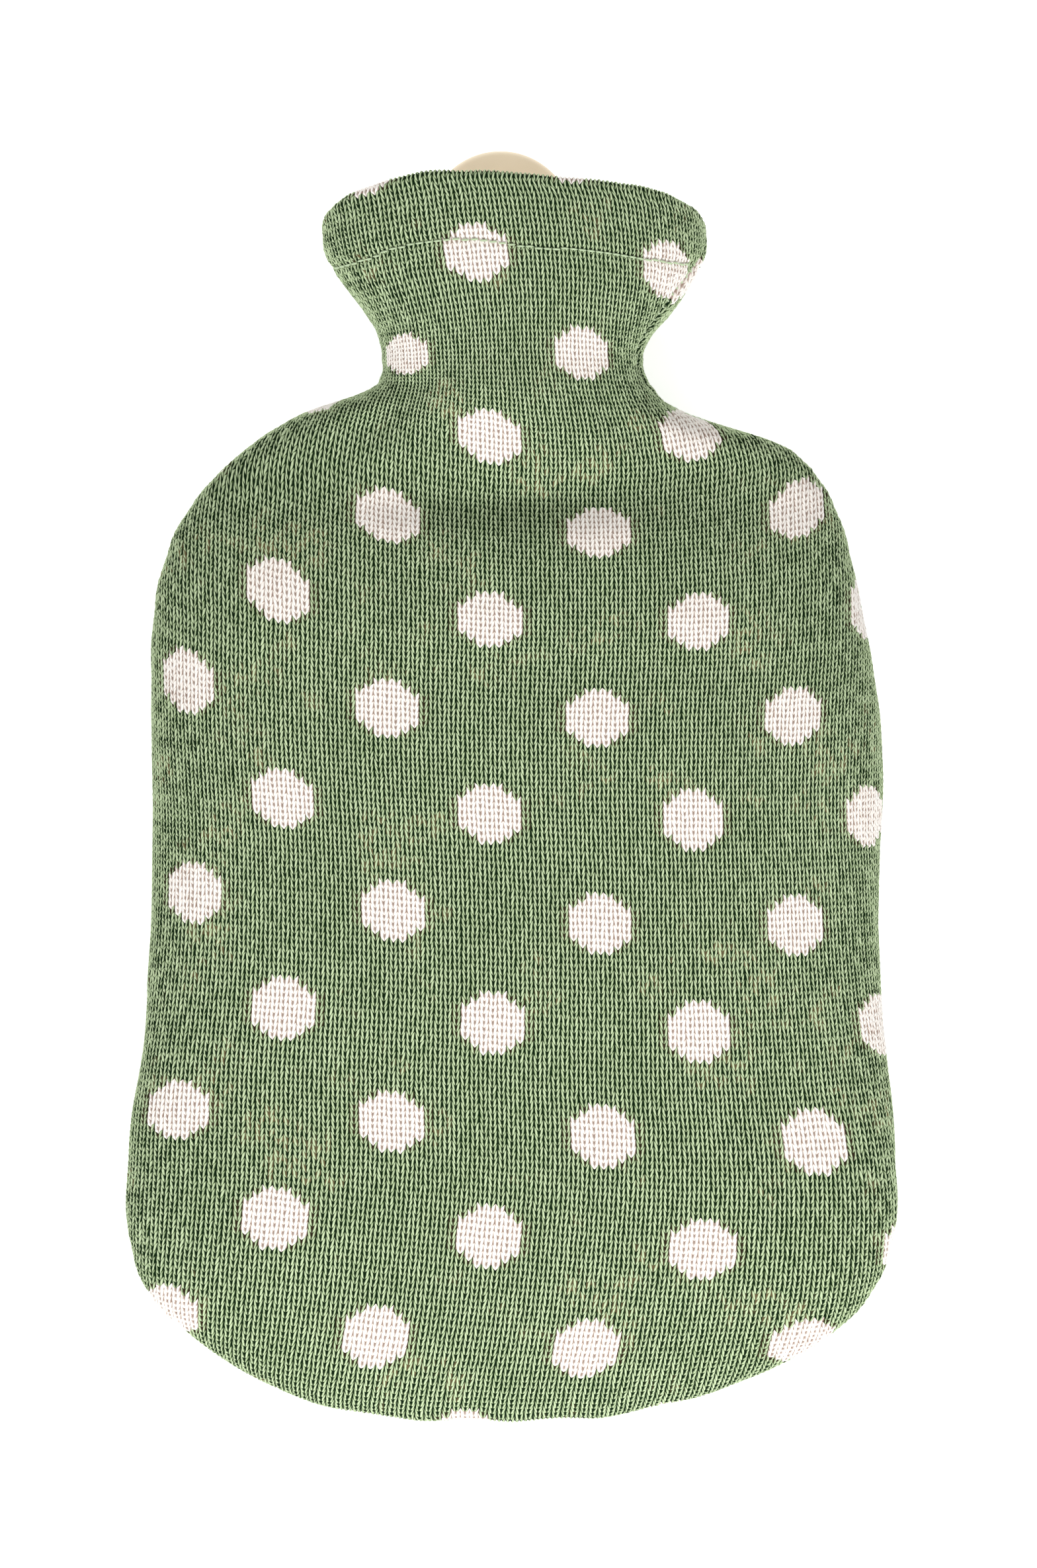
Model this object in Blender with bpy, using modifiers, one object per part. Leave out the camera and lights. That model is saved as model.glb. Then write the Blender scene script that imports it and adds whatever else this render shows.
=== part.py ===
"""A knitted hot water bottle cover on its bottle, lying on its back.

Metres, +Z up. It rests on z = 0 with the front up and the neck towards +Y, so a view from
straight above sees it as it is shown face on. The cover is two knitted panels that meet in
a seam round the sides and the bottom. Both run up into an open collar, where a hem is turned
in. The rubber bottle fills them: a pillow, a neck, a funnel and a round hanging tab.
"""

import math
from collections import namedtuple

import bmesh
import bpy
import numpy as np

# The cloth, and what lies between the pieces
KNIT_THICKNESS = 0.0020
HEM_THICKNESS = 0.0032
CLOTH_TO_RUBBER = 0.0006
BORDER_SHARE = 0.9998  # a panel's border, as a share of the way from the middle to the outline

# The outline's landmarks
END_Y = -0.100  # below this line the outline is the round bottom end
CORNER_TURN = 32.0  # degrees down from END_Y at which the bottom edge meets the side
NECK_Y = 0.112  # the narrowest place
COLLAR_Y = 0.149  # the top of the side seam
HEM_Y = 0.1375  # the stitches of the hem, where they meet the side seam

# How full a section is: 2 makes an ellipse, and more makes it flatter with rounder sides
FRONT_FULLNESS = 2.5
BACK_FULLNESS = 3.0

# The bottle's funnel and tab
FUNNEL_RIM_Y = 0.1455
FUNNEL_FLOOR_Y = 0.1210
FUNNEL_WALL = 0.0030
FUNNEL_FLOOR_SHARE = 0.68  # the floor's size as a share of the mouth's
TAB_RADIUS = 0.0194
TAB_CENTRE = (-0.0032, 0.1483)
TAB_Z = (0.0058, 0.0092)
TAB_ROUNDING = 0.0008

# How finely the surfaces are divided
COLUMNS = 22
END_ROWS = 8
LONGEST_ROW_STEP = 0.0125
NARROW_STEP = 0.014  # the first and the last step of a row, as a share of the row
TAB_STEPS = 40

# The outline's distance from the centre line on each side
Side = namedtuple("Side", "y left right")
OUTLINE = (
    Side(-0.100, 0.1013, 0.1010),
    Side(-0.088, 0.1005, 0.1005),
    Side(-0.071, 0.0976, 0.0986),
    Side(-0.050, 0.0961, 0.0970),
    Side(-0.019, 0.0949, 0.0968),
    Side(0.010, 0.0950, 0.0974),
    Side(0.028, 0.0951, 0.0955),
    Side(0.045, 0.0944, 0.0924),
    Side(0.060, 0.0913, 0.0892),
    Side(0.073, 0.0852, 0.0852),
    Side(0.081, 0.0789, 0.0808),
    Side(0.086, 0.0737, 0.0764),
    Side(0.090, 0.0687, 0.0706),
    Side(0.095, 0.0611, 0.0552),
    Side(0.0995, 0.0518, 0.0430),
    Side(0.104, 0.0386, 0.0376),
    Side(0.108, 0.0347, 0.0350),
    Side(0.112, 0.0343, 0.0342),
    Side(0.117, 0.0349, 0.0354),
    Side(0.124, 0.0383, 0.0410),
    Side(0.131, 0.0436, 0.0459),
    Side(0.138, 0.0480, 0.0494),
    Side(0.145, 0.0495, 0.0505),
    Side(0.149, 0.0497, 0.0503),
)

# The bottom end: its reach from the middle of END_Y, by degrees turned down from the right side
Reach = namedtuple("Reach", "turn reach")
BOTTOM_END = (
    Reach(0, 0.1010),
    Reach(12, 0.1021),
    Reach(19, 0.1006),
    Reach(27, 0.0957),
    Reach(38, 0.0869),
    Reach(50, 0.0790),
    Reach(70, 0.0708),
    Reach(90, 0.0677),
    Reach(110, 0.0716),
    Reach(130, 0.0817),
    Reach(143, 0.0896),
    Reach(153, 0.0964),
    Reach(161, 0.1017),
    Reach(168, 0.1027),
    Reach(180, 0.1013),
)

# The heights along the middle, and how far round to the front the right seam has turned
Height = namedtuple("Height", "y front level back seam_turn")
HEIGHTS = (
    Height(-0.168, 0.0430, 0.0210, -0.0020, 0),
    Height(-0.130, 0.0465, 0.0215, -0.0025, 0),
    Height(-0.080, 0.0490, 0.0225, -0.0030, 0),
    Height(-0.020, 0.0500, 0.0230, -0.0030, 0),
    Height(0.030, 0.0490, 0.0230, -0.0030, 0),
    Height(0.052, 0.0468, 0.0225, -0.0020, 0),
    Height(0.066, 0.0425, 0.0220, -0.0005, 0),
    Height(0.078, 0.0378, 0.0215, 0.0015, 0),
    Height(0.088, 0.0378, 0.0215, 0.0025, 0),
    Height(0.098, 0.0392, 0.0215, 0.0030, 3),
    Height(0.110, 0.0402, 0.0215, 0.0030, 12),
    Height(0.120, 0.0415, 0.0215, 0.0022, 16),
    Height(0.129, 0.0430, 0.0218, 0.0015, 17),
    Height(0.137, 0.0440, 0.0220, 0.0010, 8),
    Height(0.149, 0.0436, 0.0220, 0.0008, 0),
)

# How far the collar's top edge rises above the seam, across its width
Rise = namedtuple("Rise", "share rise")
COLLAR_EDGE = (
    Rise(-1.00, 0.0000),
    Rise(-0.97, 0.0042),
    Rise(-0.88, 0.0070),
    Rise(-0.77, 0.0090),
    Rise(-0.60, 0.0116),
    Rise(-0.26, 0.0132),
    Rise(0.00, 0.0128),
    Rise(0.23, 0.0117),
    Rise(0.58, 0.0099),
    Rise(0.75, 0.0083),
    Rise(0.87, 0.0060),
    Rise(0.93, 0.0043),
    Rise(0.97, 0.0029),
    Rise(1.00, 0.0000),
)
RISE_POWER = 2.6  # how late the rise starts on the way up from the neck

# Soft folds of the front: a place, half sizes, degrees turned and how far each lifts the cloth
Fold = namedtuple("Fold", "x y along across turn lift")
FRONT_FOLDS = (
    Fold(0.002, 0.0775, 0.030, 0.0065, 3, -0.0028),
    Fold(-0.034, 0.0985, 0.013, 0.0045, 38, -0.0030),
    Fold(0.033, 0.0925, 0.013, 0.0050, -42, -0.0022),
    Fold(-0.028, 0.0700, 0.022, 0.0090, -14, 0.0012),
    Fold(0.030, 0.0650, 0.022, 0.0100, 16, 0.0012),
    Fold(0.002, 0.0960, 0.020, 0.0080, 0, 0.0010),
    Fold(-0.062, -0.1150, 0.030, 0.0220, 40, 0.0022),
    Fold(0.064, -0.1130, 0.030, 0.0220, -40, 0.0020),
    Fold(-0.072, 0.0400, 0.034, 0.0100, 62, 0.0012),
    Fold(-0.050, 0.0150, 0.040, 0.0110, 74, -0.0010),
    Fold(0.070, 0.0100, 0.042, 0.0110, -78, -0.0010),
    Fold(0.006, -0.0500, 0.060, 0.0180, 8, 0.0008),
)

# Colour, metallic and roughness of each material
KNIT_GREEN = ((0.125, 0.255, 0.095, 1.0), 0.0, 0.90)
KNIT_GREEN_BACK = ((0.110, 0.230, 0.085, 1.0), 0.0, 0.90)
RUBBER_BEIGE = ((0.600, 0.480, 0.330, 1.0), 0.0, 0.55)


def clear_scene():
    for old in list(bpy.data.objects):
        bpy.data.objects.remove(old, do_unlink=True)


def make_material(name, finish):
    colour, metallic, roughness = finish
    material = bpy.data.materials.new(name)
    material.use_nodes = True
    shader = material.node_tree.nodes["Principled BSDF"]
    shader.inputs["Base Color"].default_value = colour
    shader.inputs["Metallic"].default_value = metallic
    shader.inputs["Roughness"].default_value = roughness
    material.diffuse_color = colour
    return material


def column(table, name):
    return np.array([getattr(row, name) for row in table], float)


def smooth(stations, values, at):
    """A curve through a table's values, read at the given places."""
    slopes = np.gradient(values, stations)
    before = np.clip(np.searchsorted(stations, at) - 1, 0, len(stations) - 2)
    step = stations[before + 1] - stations[before]
    part = np.clip((at - stations[before]) / step, 0.0, 1.0)
    left = values[before] + step * slopes[before] * part
    right = values[before + 1] - step * slopes[before + 1] * (1.0 - part)
    ease = part * part * (3.0 - 2.0 * part)
    return left * (1.0 - ease) + right * ease


def outline_side(x, y):
    """The outline's distance from the centre line at y, on the side that x lies on."""
    left = smooth(column(OUTLINE, "y"), column(OUTLINE, "left"), y)
    right = smooth(column(OUTLINE, "y"), column(OUTLINE, "right"), y)
    return np.where(x < 0, left, right)


def end_reach(turn):
    return smooth(column(BOTTOM_END, "turn"), column(BOTTOM_END, "reach"), turn)


def share_of_reach(x, y):
    """0 in the middle of a section and 1 at the outline, round the bottom end too."""
    down = END_Y - y
    turn = np.degrees(np.arctan2(down, x))
    at_end = np.hypot(x, down) / end_reach(turn)
    at_side = np.abs(x) / outline_side(x, y)
    return np.where(down > 0, at_end, at_side)


def height_at(name, y):
    return smooth(column(HEIGHTS, "y"), column(HEIGHTS, name), y)


def fold_lift(x, y):
    total = np.zeros_like(x)
    for fold in FRONT_FOLDS:
        turn = math.radians(fold.turn)
        along = (x - fold.x) * math.cos(turn) + (y - fold.y) * math.sin(turn)
        across = (y - fold.y) * math.cos(turn) - (x - fold.x) * math.sin(turn)
        total += fold.lift * np.exp(-((along / fold.along) ** 2) - (across / fold.across) ** 2)
    return total


def skin_height(x, y, on_front):
    """The z of the cover's outside, on its front or its back, flat where the back rests."""
    share = np.clip(share_of_reach(x, y), 0.0, 1.0)
    level = height_at("level", y)
    bulge = np.sqrt(1.0 - share**FRONT_FULLNESS)
    front = level + (height_at("front", y) - level) * bulge + fold_lift(x, y) * bulge
    back = level - (level - height_at("back", y)) * np.sqrt(1.0 - share**BACK_FULLNESS)
    return np.where(on_front, front, np.maximum(back, 0.0))


def spread(count):
    """Even steps from 0 to 1 but for a narrow one at each end, where the surface stands upright."""
    inner = np.linspace(NARROW_STEP, 1.0 - NARROW_STEP, count - 1)
    return np.concatenate([[0.0], inner, [1.0]])


def eased(part):
    return (1.0 - np.cos(math.pi * part)) / 2.0


def end_edge(turn, border):
    """Plan of the bottom end's edge, at degrees turned down from the right side."""
    reach = border * end_reach(turn)
    turn = np.radians(turn)
    return np.stack([reach * np.cos(turn), END_Y - reach * np.sin(turn)], axis=-1)


def end_plan(top_x, border):
    """Plan of the rows over the bottom end: a patch between its edge and the row at END_Y."""
    top = np.stack([top_x, np.full(len(top_x), END_Y)], axis=1)
    across = (top_x - top_x[0]) / (top_x[-1] - top_x[0])
    turns = 180.0 - CORNER_TURN - (180.0 - 2.0 * CORNER_TURN) * eased(spread(COLUMNS))
    bottom = end_edge(turns, border)
    rows = []
    for step in spread(2 * END_ROWS)[:END_ROWS]:
        up = 1.0 - math.cos(math.pi * step)
        left = end_edge(180.0 - CORNER_TURN * (1.0 - up), border)
        right = end_edge(CORNER_TURN * (1.0 - up), border)
        ends = np.outer(1.0 - across, left) + np.outer(across, right)
        corners = np.outer(1.0 - across, (1.0 - up) * bottom[0] + up * top[0])
        corners += np.outer(across, (1.0 - up) * bottom[-1] + up * top[-1])
        rows.append((1.0 - up) * bottom + up * top + ends - corners)
    return rows


def stations_to(top_y):
    """The outline's own rows up to top_y, with more between them where they lie far apart."""
    known = [row.y for row in OUTLINE if row.y <= top_y]
    stations = known[:1]
    for low, high in zip(known, known[1:]):
        steps = math.ceil((high - low) / LONGEST_ROW_STEP)
        stations += [low + (high - low) * (step + 1) / steps for step in range(steps)]
    return stations


def collar_rise(station, share):
    """How far a row near the collar has bent up towards the arch of the top edge."""
    way_up = max(station - NECK_Y, 0.0) / (COLLAR_Y - NECK_Y)
    edge = smooth(column(COLLAR_EDGE, "share"), column(COLLAR_EDGE, "rise"), share)
    return way_up**RISE_POWER * edge


def skin_rows(front, border, seam_turns, top_y):
    """Rows of points from the bottom end to the collar, each from the left seam to the right."""
    inside = math.degrees(math.acos(border))
    rows = []
    for station in stations_to(top_y):
        first, last = (180.0 - inside, inside) if front else (180.0 + inside, 360.0 - inside)
        if seam_turns:
            last += height_at("seam_turn", station)
        angle = np.radians(first + (last - first) * spread(COLUMNS))
        share = np.cos(angle)
        y = np.full(COLUMNS + 1, station)
        x = share * outline_side(share, y)
        z = skin_height(x, y, np.sin(angle) >= 0.0)
        rows.append(np.stack([x, y + collar_rise(station, share), z], axis=1))
    low_rows = []
    for plan in end_plan(rows[0][:, 0], border):
        z = skin_height(plan[:, 0], plan[:, 1], np.full(COLUMNS + 1, front))
        low_rows.append(np.stack([plan[:, 0], plan[:, 1], z], axis=1))
    return np.array(low_rows + rows)


def grid_mesh(rows, faces_up):
    """A grid whose points are moved to the rows, with its faces turned outwards."""
    count, columns = rows.shape[0] - 1, rows.shape[1] - 1
    mesh = bmesh.new()
    bmesh.ops.create_grid(mesh, x_segments=columns, y_segments=count, size=1.0)
    for vertex in mesh.verts:
        i = round((vertex.co.x + 1.0) / 2.0 * columns)
        j = round((vertex.co.y + 1.0) / 2.0 * count)
        vertex.co = rows[j, i]
    if not faces_up:
        bmesh.ops.reverse_faces(mesh, faces=mesh.faces)
    return mesh


def finish_object(name, mesh, collection, material):
    data = bpy.data.meshes.new(name)
    mesh.to_mesh(data)
    mesh.free()
    data.shade_smooth()
    data.materials.append(material)
    obj = bpy.data.objects.new(name, data)
    collection.objects.link(obj)
    return obj


def make_panel(name, front, collection, material):
    """One knitted panel: a surface given the cloth's thickness, which is doubled at the hem."""
    rows = skin_rows(front, BORDER_SHARE, True, COLLAR_Y)
    panel = finish_object(name, grid_mesh(rows, front), collection, material)
    hem_rows = sum(station > HEM_Y for station in stations_to(COLLAR_Y))
    hem_start = (len(rows) - hem_rows) * (COLUMNS + 1)
    hem = panel.vertex_groups.new(name="hem")
    hem.add(list(range(hem_start, len(panel.data.vertices))), 1.0, "REPLACE")
    cloth = panel.modifiers.new("Cloth thickness", "SOLIDIFY")
    cloth.thickness = HEM_THICKNESS
    cloth.offset = -1.0
    cloth.vertex_group = hem.name
    cloth.thickness_vertex_group = KNIT_THICKNESS / HEM_THICKNESS
    return panel


def make_tab(collection):
    """The round hanging tab, a disc with softened edges that a union joins to the funnel."""
    mesh = bmesh.new()
    depth = TAB_Z[1] - TAB_Z[0]
    bmesh.ops.create_cone(
        mesh, cap_ends=True, segments=TAB_STEPS, radius1=TAB_RADIUS, radius2=TAB_RADIUS, depth=depth
    )
    rims = [edge for edge in mesh.edges if abs(edge.verts[0].co.z - edge.verts[1].co.z) < depth / 2]
    bmesh.ops.bevel(
        mesh, geom=rims, offset=TAB_ROUNDING, segments=2, profile=0.5, affect="EDGES", material=-1
    )
    place = (TAB_CENTRE[0], TAB_CENTRE[1], (TAB_Z[0] + TAB_Z[1]) / 2.0)
    bmesh.ops.translate(mesh, verts=mesh.verts, vec=place)
    tab = finish_object("tab_cutter", mesh, collection, make_material("tab", RUBBER_BEIGE))
    tab.hide_render = True
    tab.display_type = "WIRE"
    return tab


def make_bottle(collection, helpers, material):
    """The rubber bottle: the cover's own form drawn in, with a cup in its funnel and a tab."""
    mesh = bmesh.new()
    for front in (True, False):
        rows = skin_rows(front, 1.0, False, HEM_Y + KNIT_THICKNESS)
        half = grid_mesh(rows, front)
        data = bpy.data.meshes.new("half")
        half.to_mesh(data)
        half.free()
        mesh.from_mesh(data)
        bpy.data.meshes.remove(data)
    bmesh.ops.remove_doubles(mesh, verts=mesh.verts, dist=0.00001)
    mesh.normal_update()
    for vertex in mesh.verts:
        in_hem = min(max((vertex.co.y - NECK_Y) / (HEM_Y - NECK_Y), 0.0), 1.0)
        cloth = KNIT_THICKNESS + (HEM_THICKNESS - KNIT_THICKNESS) * in_hem
        vertex.co -= vertex.normal * (cloth + CLOTH_TO_RUBBER)

    rim_edges = [edge for edge in mesh.edges if edge.is_boundary]
    for vertex in {vertex for edge in rim_edges for vertex in edge.verts}:
        vertex.co.y = FUNNEL_RIM_Y
    cap = bmesh.ops.contextual_create(mesh, geom=rim_edges)["faces"]
    bmesh.ops.inset_region(mesh, faces=cap, thickness=FUNNEL_WALL, use_even_offset=True)
    deep = bmesh.ops.extrude_face_region(mesh, geom=cap)["geom"]
    bmesh.ops.delete(mesh, geom=cap, context="FACES_ONLY")
    floor = [item for item in deep if isinstance(item, bmesh.types.BMVert)]
    middle = sum((vertex.co.z for vertex in floor)) / len(floor)
    for vertex in floor:
        vertex.co.x *= FUNNEL_FLOOR_SHARE
        vertex.co.y = FUNNEL_FLOOR_Y
        vertex.co.z = middle + (vertex.co.z - middle) * FUNNEL_FLOOR_SHARE
    bmesh.ops.recalc_face_normals(mesh, faces=mesh.faces)

    bottle = finish_object("bottle", mesh, collection, material)
    union = bottle.modifiers.new("Hanging tab", "BOOLEAN")
    union.operation = "UNION"
    union.object = make_tab(helpers)
    return bottle


def build():
    clear_scene()
    scene = bpy.context.scene
    cover = bpy.data.collections.new("hot_water_bottle_cover")
    helpers = bpy.data.collections.new("helpers")
    scene.collection.children.link(cover)
    scene.collection.children.link(helpers)
    make_panel("front_panel", True, cover, make_material("knit_front", KNIT_GREEN))
    make_panel("back_panel", False, cover, make_material("knit_back", KNIT_GREEN_BACK))
    make_bottle(cover, helpers, make_material("rubber", RUBBER_BEIGE))


build()
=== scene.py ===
# %% [markdown]
# # A knitted hot water bottle cover
# The real thing is two panels of fine machine knit, green with cream dots, sewn together over a
# rubber bottle. This lesson dresses the plain solids of the frame: it lays a real grid of
# stitches on each panel, finishes the hem and the seams with thread, and gives the bottle its
# round hanging tab. Everything is in metres and in the frame's own place.

import math
from collections import namedtuple

import bmesh
import bpy
import numpy as np
from mathutils import Matrix, Vector
from mathutils.bvhtree import BVHTree
from mathutils.kdtree import KDTree


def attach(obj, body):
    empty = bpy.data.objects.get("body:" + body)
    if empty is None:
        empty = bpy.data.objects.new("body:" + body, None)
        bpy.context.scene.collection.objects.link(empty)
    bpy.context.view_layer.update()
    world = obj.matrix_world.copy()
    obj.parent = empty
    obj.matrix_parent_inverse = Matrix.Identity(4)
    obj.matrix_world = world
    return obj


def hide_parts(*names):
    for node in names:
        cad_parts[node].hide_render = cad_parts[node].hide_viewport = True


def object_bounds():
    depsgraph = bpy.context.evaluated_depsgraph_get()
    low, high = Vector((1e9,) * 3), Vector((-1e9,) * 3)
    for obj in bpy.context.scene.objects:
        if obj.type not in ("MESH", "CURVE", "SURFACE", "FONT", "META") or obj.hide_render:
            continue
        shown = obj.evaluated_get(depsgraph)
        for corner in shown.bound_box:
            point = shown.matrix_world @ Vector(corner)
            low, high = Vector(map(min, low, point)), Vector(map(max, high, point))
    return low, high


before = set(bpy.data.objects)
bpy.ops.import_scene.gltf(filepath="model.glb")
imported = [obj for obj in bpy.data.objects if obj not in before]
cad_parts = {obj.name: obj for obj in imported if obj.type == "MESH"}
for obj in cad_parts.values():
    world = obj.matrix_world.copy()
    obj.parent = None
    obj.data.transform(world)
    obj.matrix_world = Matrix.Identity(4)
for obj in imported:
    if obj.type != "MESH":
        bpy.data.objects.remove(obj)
cad_low, cad_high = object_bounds()
scene = bpy.context.scene
print("nodes:", sorted(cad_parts), "box:", cad_low, cad_high)

# %% [markdown]
# ## The form under the cloth
# A pillow, a narrow neck and a flared collar. It could be sculpted, but the solids were drawn
# from a few tables of measurements, and the cloth fits them because the same tables are used
# here. Only three folds at the neck are a little stronger, and the collar's left corner has more
# rows. Each table is read through a smooth curve.

# %% The tables of the form
def rows_of(kind, *rows):
    return tuple(kind(*row) for row in rows)


# How far the edge lies from the middle line at each level, on the left and on the right
Side = namedtuple("Side", "y left right")
OUTLINE = rows_of(
    Side,
    (-0.100, 0.1013, 0.1010), (-0.088, 0.1005, 0.1005), (-0.071, 0.0976, 0.0986),
    (-0.050, 0.0961, 0.0970), (-0.019, 0.0949, 0.0968), (0.010, 0.0950, 0.0974),
    (0.028, 0.0951, 0.0955), (0.045, 0.0944, 0.0924), (0.060, 0.0913, 0.0892),
    (0.073, 0.0852, 0.0852), (0.081, 0.0789, 0.0808), (0.086, 0.0737, 0.0764),
    (0.090, 0.0687, 0.0706), (0.095, 0.0611, 0.0552), (0.0995, 0.0518, 0.0430),
    (0.104, 0.0386, 0.0376), (0.108, 0.0347, 0.0350), (0.112, 0.0343, 0.0342),
    (0.117, 0.0349, 0.0354), (0.124, 0.0383, 0.0410), (0.131, 0.0436, 0.0459),
    (0.138, 0.0480, 0.0494), (0.145, 0.0495, 0.0505), (0.149, 0.0497, 0.0503),
)
END_Y = -0.100  # below this level the edge is measured round a centre
CORNER_TURN = 32.0  # degrees of the round end that belong to each of its sides
# How far the edge lies from that centre, by degrees from the right round the bottom to the left
Reach = namedtuple("Reach", "turn reach")
BOTTOM_END = rows_of(
    Reach,
    (0, 0.1010), (12, 0.1021), (19, 0.1006), (27, 0.0957), (38, 0.0869), (50, 0.0790),
    (70, 0.0708), (90, 0.0677), (110, 0.0716), (130, 0.0817), (143, 0.0896), (153, 0.0964),
    (161, 0.1017), (168, 0.1027), (180, 0.1013),
)
# Heights of the crown, of the widest level and of the back, and degrees that the seam is turned
Height = namedtuple("Height", "y front level back seam_turn")
HEIGHTS = rows_of(
    Height,
    (-0.168, 0.0430, 0.0210, -0.0020, 0),
    (-0.130, 0.0465, 0.0215, -0.0025, 0),
    (-0.080, 0.0490, 0.0225, -0.0030, 0),
    (-0.020, 0.0500, 0.0230, -0.0030, 0),
    (0.030, 0.0490, 0.0230, -0.0030, 0),
    (0.052, 0.0468, 0.0225, -0.0020, 0),
    (0.066, 0.0425, 0.0220, -0.0005, 0),
    (0.078, 0.0378, 0.0215, 0.0015, 0),
    (0.088, 0.0378, 0.0215, 0.0025, 0),
    (0.098, 0.0392, 0.0215, 0.0030, 3),
    (0.110, 0.0402, 0.0215, 0.0030, 12),
    (0.120, 0.0415, 0.0215, 0.0022, 16),
    (0.129, 0.0430, 0.0218, 0.0015, 17),
    (0.137, 0.0440, 0.0220, 0.0010, 8),
    (0.149, 0.0436, 0.0220, 0.0008, 0),
)
# How much higher the collar's edge is than at its corners, by share of its half width
Rise = namedtuple("Rise", "share rise")
COLLAR_EDGE = rows_of(
    Rise,
    (-1.00, 0.0000), (-0.99, 0.0020), (-0.97, 0.0032), (-0.95, 0.0043), (-0.92, 0.0055),
    (-0.89, 0.0066), (-0.84, 0.0078), (-0.77, 0.0090), (-0.60, 0.0116), (-0.26, 0.0132),
    (0.00, 0.0128), (0.23, 0.0117), (0.58, 0.0099), (0.75, 0.0083), (0.87, 0.0060),
    (0.93, 0.0043), (0.97, 0.0029), (1.00, 0.0000),
)
# A crease or a swelling: its middle, its reach along and across, its turn in degrees, its lift
Fold = namedtuple("Fold", "x y along across turn lift")
FRONT_FOLDS = rows_of(
    Fold,
    (0.002, 0.0765, 0.032, 0.0070, 3, -0.0036),
    (-0.033, 0.0985, 0.013, 0.0055, 38, -0.0038),
    (0.033, 0.0925, 0.013, 0.0050, -42, -0.0022),
    (-0.028, 0.0700, 0.022, 0.0090, -14, 0.0012),
    (0.030, 0.0650, 0.022, 0.0100, 16, 0.0012),
    (0.000, 0.1035, 0.028, 0.0090, 0, 0.0026),
    (-0.062, -0.1150, 0.030, 0.0220, 40, 0.0022),
    (0.064, -0.1130, 0.030, 0.0220, -40, 0.0020),
    (-0.072, 0.0400, 0.034, 0.0100, 62, 0.0012),
    (-0.050, 0.0150, 0.040, 0.0110, 74, -0.0010),
    (0.070, 0.0100, 0.042, 0.0110, -78, -0.0010),
    (0.006, -0.0500, 0.060, 0.0180, 8, 0.0008),
)
FRONT_FULLNESS = 2.5  # the power of the section's curve: more makes it squarer
BACK_FULLNESS = 3.0
NECK_Y = 0.112
COLLAR_Y = 0.149
RISE_POWER = 2.6
print("rows of the outline:", len(OUTLINE), "folds:", len(FRONT_FOLDS))


# %% Curves through a table
def column(table, name):
    return np.array([getattr(row, name) for row in table], float)


def smooth(stations, values, at):
    slopes = np.gradient(values, stations)
    before = np.clip(np.searchsorted(stations, at) - 1, 0, len(stations) - 2)
    step = stations[before + 1] - stations[before]
    part = np.clip((at - stations[before]) / step, 0.0, 1.0)
    left = values[before] + step * slopes[before] * part
    right = values[before + 1] - step * slopes[before + 1] * (1.0 - part)
    ease = part * part * (3.0 - 2.0 * part)
    return left * (1.0 - ease) + right * ease


def read(table, key, name, at):
    return smooth(column(table, key), column(table, name), at)


# %% The height of the cover's outside
def outline_side(x, y):
    return np.where(x < 0, read(OUTLINE, "y", "left", y), read(OUTLINE, "y", "right", y))


def end_reach(turn):
    return read(BOTTOM_END, "turn", "reach", turn)


def share_of_reach(x, y):
    down = END_Y - y
    turn = np.degrees(np.arctan2(down, x))
    at_end = np.hypot(x, down) / end_reach(turn)
    return np.where(down > 0, at_end, np.abs(x) / outline_side(x, y))


def fold_lift(x, y):
    total = np.zeros_like(x)
    for fold in FRONT_FOLDS:
        turn = math.radians(fold.turn)
        along = (x - fold.x) * math.cos(turn) + (y - fold.y) * math.sin(turn)
        across = (y - fold.y) * math.cos(turn) - (x - fold.x) * math.sin(turn)
        total += fold.lift * np.exp(-((along / fold.along) ** 2) - (across / fold.across) ** 2)
    return total


def skin_height(x, y, on_front):
    share = np.clip(share_of_reach(x, y), 0.0, 1.0)
    level = read(HEIGHTS, "y", "level", y)
    bulge = np.sqrt(1.0 - share**FRONT_FULLNESS)
    front = level + (read(HEIGHTS, "y", "front", y) - level) * bulge + fold_lift(x, y) * bulge
    drop = (level - read(HEIGHTS, "y", "back", y)) * np.sqrt(1.0 - share**BACK_FULLNESS)
    return np.where(on_front, front, np.maximum(level - drop, 0.0))


def risen(x, station):
    """The level of a place on the form, once the collar's edge has its curve."""
    way_up = np.maximum(station - NECK_Y, 0.0) / (COLLAR_Y - NECK_Y)
    share = np.clip(x / outline_side(x, np.maximum(station, END_Y)), -1.0, 1.0)
    return station + way_up**RISE_POWER * read(COLLAR_EDGE, "share", "rise", share)


print("height in the middle:", skin_height(np.zeros(1), np.zeros(1), True))

# %% [markdown]
# ## The camera and the light
# The cover is shown face on, so the camera looks straight down from well above, with a long
# lens. The light is that of a product picture: white all round, and a little stronger from
# beyond the bottom edge, which leaves the dent below the neck dark.

# %% Camera
CAMERA_UP = 8.0
VIEW_CENTRE = (0.0016, 0.0006, 0.022)
VIEW_HEIGHT = 0.4133  # metres that the picture's long side covers at the widest level
SENSOR = 36.0

camera_data = bpy.data.cameras.new("Camera")
camera_data.sensor_width = SENSOR
camera_data.lens = SENSOR * CAMERA_UP / VIEW_HEIGHT
camera = bpy.data.objects.new("Camera", camera_data)
camera.location = (VIEW_CENTRE[0], VIEW_CENTRE[1], VIEW_CENTRE[2] + CAMERA_UP)
scene.collection.objects.link(camera)
scene.camera = camera
scene.view_settings.view_transform = "Standard"
print("lens:", round(camera_data.lens, 1), "mm")

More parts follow.
